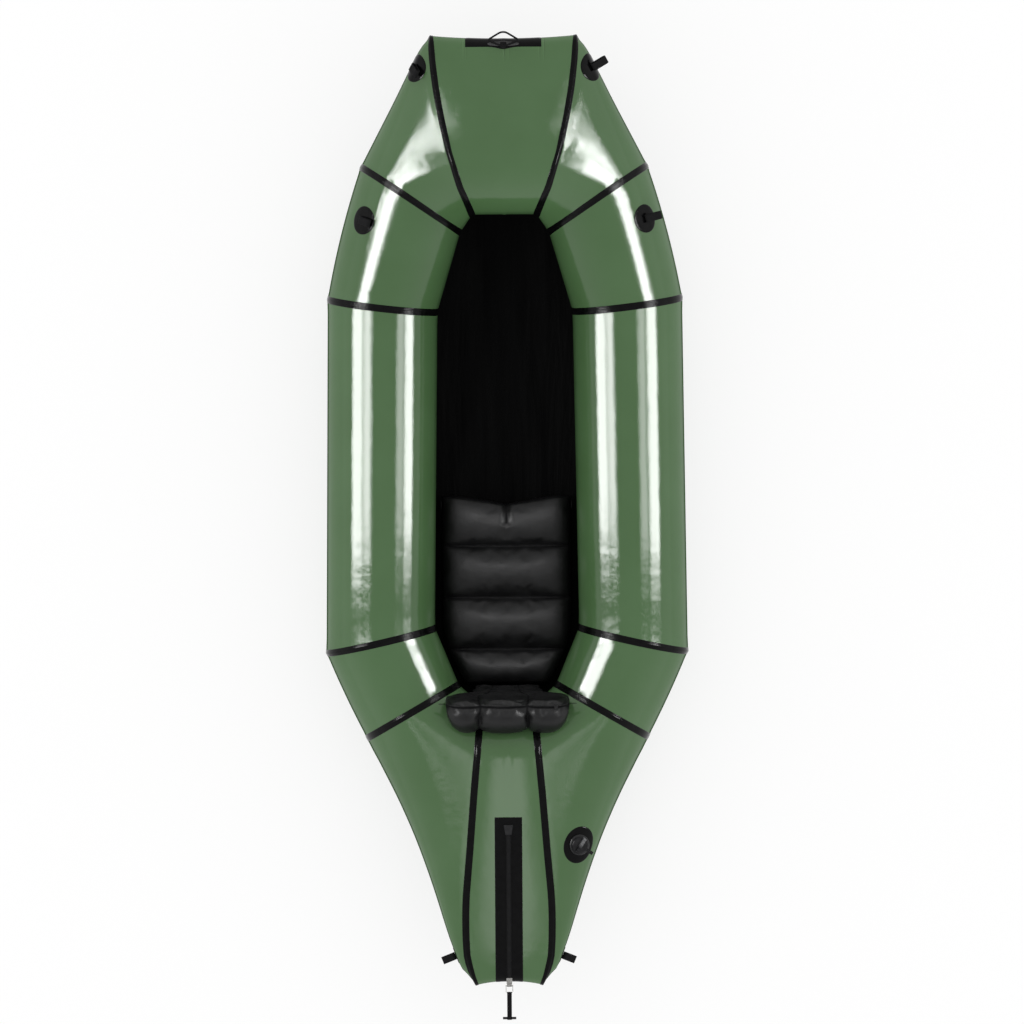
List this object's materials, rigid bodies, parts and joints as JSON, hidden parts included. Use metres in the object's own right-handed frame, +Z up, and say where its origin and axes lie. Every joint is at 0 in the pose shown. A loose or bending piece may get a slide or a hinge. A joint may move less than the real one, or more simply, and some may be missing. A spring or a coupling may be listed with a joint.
{
  "type": "packraft",
  "caption": "Inflatable single-seat packraft with mitred tube hull, raised bow, tapered stern, floor, inflatable seat, valve, cargo zip and tie loops.",
  "frame": {"origin": "centre of the bounding box, at the underside of the floor sheet", "axes": "+Y to the bow, +X to starboard, +Z up"},
  "size_m": [0.9566, 2.5948, 0.4401],
  "materials": {
    "hull_fabric": "glossy coated fabric",
    "seam_tape": "semi-gloss coated tape",
    "floor_fabric": "matte coated fabric",
    "seat_fabric": "satin coated fabric",
    "webbing": "woven",
    "black_plastic": "moulded",
    "rubber": "matte",
    "nickel": "plated"
  },
  "bodies": {
    "boat": {"bow_anchor_aft_patch_port": "seam_tape", "bow_anchor_aft_patch_starboard": "seam_tape", "bow_anchor_fore_patch_port": "seam_tape", "bow_anchor_fore_patch_starboard": "seam_tape", "bow_grab_patch": "seam_tape", "floor_sheet": "floor_fabric", "hull_aft_quarter_port": "hull_fabric", "hull_aft_quarter_starboard": "hull_fabric", "hull_bow_centre": "hull_fabric", "hull_bow_quarter_port": "hull_fabric", "hull_bow_quarter_starboard": "hull_fabric", "hull_bow_side_port": "hull_fabric", "hull_bow_side_starboard": "hull_fabric", "hull_main_tube_port": "hull_fabric", "hull_main_tube_starboard": "hull_fabric", "hull_stern_centre": "hull_fabric", "hull_stern_side_port": "hull_fabric", "hull_stern_side_starboard": "hull_fabric", "seam_tape_aft_port": "seam_tape", "seam_tape_aft_starboard": "seam_tape", "seam_tape_bow_port": "seam_tape", "seam_tape_bow_quarter_port": "seam_tape", "seam_tape_bow_quarter_starboard": "seam_tape", "seam_tape_bow_starboard": "seam_tape", "seam_tape_fore_port": "seam_tape", "seam_tape_fore_starboard": "seam_tape", "seam_tape_stern_port": "seam_tape", "seam_tape_stern_quarter_port": "seam_tape", "seam_tape_stern_quarter_starboard": "seam_tape", "seam_tape_stern_starboard": "seam_tape", "seat_cushion": "seat_fabric", "seat_hinge_web": "webbing", "seat_tie_port": "webbing", "seat_tie_starboard": "webbing", "stern_anchor_patch_port": "seam_tape", "stern_anchor_patch_starboard": "seam_tape", "valve_body": "black_plastic", "valve_core": "rubber", "valve_flange": "seam_tape", "valve_tether": "rubber", "zip_chain": "rubber", "zip_dock": "black_plastic", "zip_patch": "seam_tape"},
    "backrest": {"seat_backrest": "seat_fabric", "backrest_valve": "black_plastic", "backrest_tie_port": "webbing", "backrest_tie_starboard": "webbing"},
    "grab_loop": {"bow_grab_loop": "webbing"},
    "valve_cap": {"valve_cap": "black_plastic"},
    "zip_slider": {"zip_slider": "nickel"},
    "zip_bail": {"zip_bail": "nickel"},
    "zip_pull": {"zip_pull_strap": "webbing", "zip_pull_toggle": "black_plastic"},
    "bow_anchor_aft_loop_port": {"bow_anchor_aft_loop_port": "webbing"},
    "bow_anchor_aft_loop_starboard": {"bow_anchor_aft_loop_starboard": "webbing"},
    "bow_anchor_fore_loop_port": {"bow_anchor_fore_loop_port": "webbing"},
    "bow_anchor_fore_loop_starboard": {"bow_anchor_fore_loop_starboard": "webbing"},
    "stern_anchor_loop_port": {"stern_anchor_loop_port": "webbing"},
    "stern_anchor_loop_starboard": {"stern_anchor_loop_starboard": "webbing"}
  },
  "joints": [
    {"name": "backrest_fold", "type": "hinge", "parent": "boat", "child": "backrest", "pos_m": [0, -0.42017, 0.11329], "axis": [-1, 0, 0], "range_deg": [0, 80]},
    {"name": "grab_loop_lift", "type": "hinge", "parent": "boat", "child": "grab_loop", "pos_m": [0, 1.25886, 0.39892], "axis": [1, 0, 0], "range_deg": [0, 120]},
    {"name": "valve_cap_turn", "type": "hinge", "parent": "boat", "child": "valve_cap", "pos_m": [0.18596, -0.83869, 0.2817], "axis": [0.328, -0.0875, 0.9406], "range_deg": [0, 90]},
    {"name": "zip_slide", "type": "slide", "parent": "boat", "child": "zip_slider", "axis": [0, 0.9981, 0.0621], "range_m": [0, 0.37]},
    {"name": "bail_swing", "type": "hinge", "parent": "zip_slider", "child": "zip_bail", "pos_m": [0, -1.20404, 0.29486], "axis": [-1, 0, 0], "range_deg": [-70, 130]},
    {"name": "pull_swing", "type": "hinge", "parent": "zip_bail", "child": "zip_pull", "pos_m": [0, -1.226, 0.29349], "axis": [-1, 0, 0], "range_deg": [-30, 50]},
    {"name": "bow_anchor_aft_swing_port", "type": "hinge", "parent": "boat", "child": "bow_anchor_aft_loop_port", "pos_m": [-0.37657, 0.80681, 0.29116], "axis": [0.2473, 0.9553, 0.1618], "range_deg": [-170, 6]},
    {"name": "bow_anchor_aft_swing_starboard", "type": "hinge", "parent": "boat", "child": "bow_anchor_aft_loop_starboard", "pos_m": [0.37656, 0.80683, 0.29118], "axis": [0.2474, -0.956, -0.1579], "range_deg": [-41.4, 134.6]},
    {"name": "bow_anchor_fore_swing_port", "type": "hinge", "parent": "boat", "child": "bow_anchor_fore_loop_port", "pos_m": [-0.2383, 1.20497, 0.36465], "axis": [0.4511, 0.8198, 0.3527], "range_deg": [-170, 6]},
    {"name": "bow_anchor_fore_swing_starboard", "type": "hinge", "parent": "boat", "child": "bow_anchor_fore_loop_starboard", "pos_m": [0.23833, 1.20494, 0.36441], "axis": [0.4494, -0.8168, -0.3619], "range_deg": [-44.77, 131.23]},
    {"name": "stern_anchor_swing_port", "type": "hinge", "parent": "boat", "child": "stern_anchor_loop_port", "pos_m": [-0.14676, -1.13135, 0.23326], "axis": [-0.386, 0.9225, 0], "range_deg": [-50.7, 125.3]},
    {"name": "stern_anchor_swing_starboard", "type": "hinge", "parent": "boat", "child": "stern_anchor_loop_starboard", "pos_m": [0.14681, -1.13137, 0.23307], "axis": [-0.3901, -0.9208, 0], "range_deg": [-49.29, 126.71]}
  ]
}
